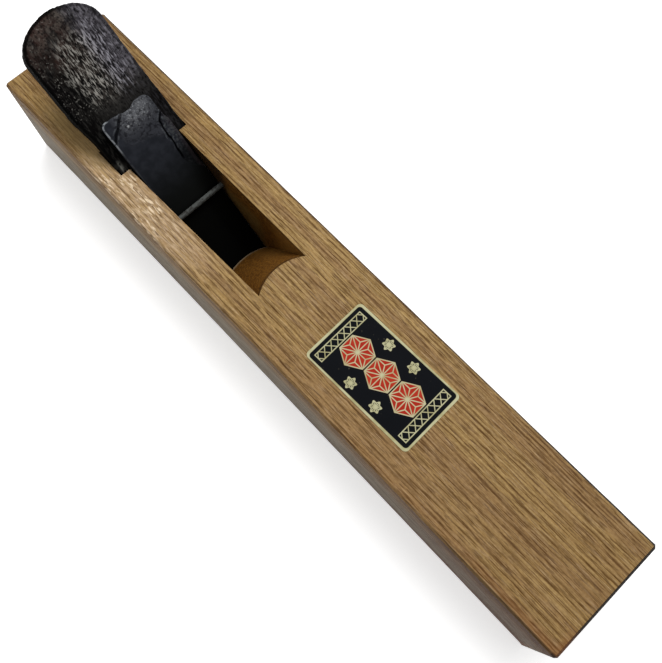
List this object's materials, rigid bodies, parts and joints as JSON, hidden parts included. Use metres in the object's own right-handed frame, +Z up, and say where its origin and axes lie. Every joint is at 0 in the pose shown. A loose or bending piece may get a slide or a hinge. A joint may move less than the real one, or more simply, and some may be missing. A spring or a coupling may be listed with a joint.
{
  "type": "pull plane",
  "caption": "Wooden hand plane pulled towards the user: a long oak block with a sloping throat, a wedged laminated blade, a chipbreaker and a steel cross pin.",
  "frame": {"origin": "middle of the sole", "axes": "+Z up from the sole, +Y along the block towards the struck head of the blade, +X to the right when looking along +Y"},
  "size_m": [0.0466, 0.273, 0.0765],
  "materials": {
    "block_oak": "planed and lightly oiled oak, straight grain along the length",
    "pin_steel": "dull drawn steel",
    "label_paper": "printed and varnished, black with a pale border",
    "blade_iron": "black forge scale, hammered",
    "edge_steel": "ground hard steel",
    "chipbreaker_iron": "smooth blue-black scale, rough near its head"
  },
  "bodies": {
    "dai": {"dai_block": "block_oak", "retaining_pin": "pin_steel", "label": "label_paper"},
    "blade": {"blade_body": "blade_iron", "blade_edge_steel": "edge_steel"},
    "chipbreaker": {"chipbreaker_body": "chipbreaker_iron", "chipbreaker_edge_steel": "edge_steel"}
  },
  "joints": [
    {"name": "blade_slide", "type": "slide", "parent": "dai", "child": "blade", "axis": [0, 0.7771, 0.6293], "range_m": [-0.0006, 0.075]},
    {"name": "chipbreaker_slide", "type": "slide", "parent": "blade", "child": "chipbreaker", "axis": [0, 0.7771, 0.6293], "range_m": [-0.0005, 0.08]}
  ]
}
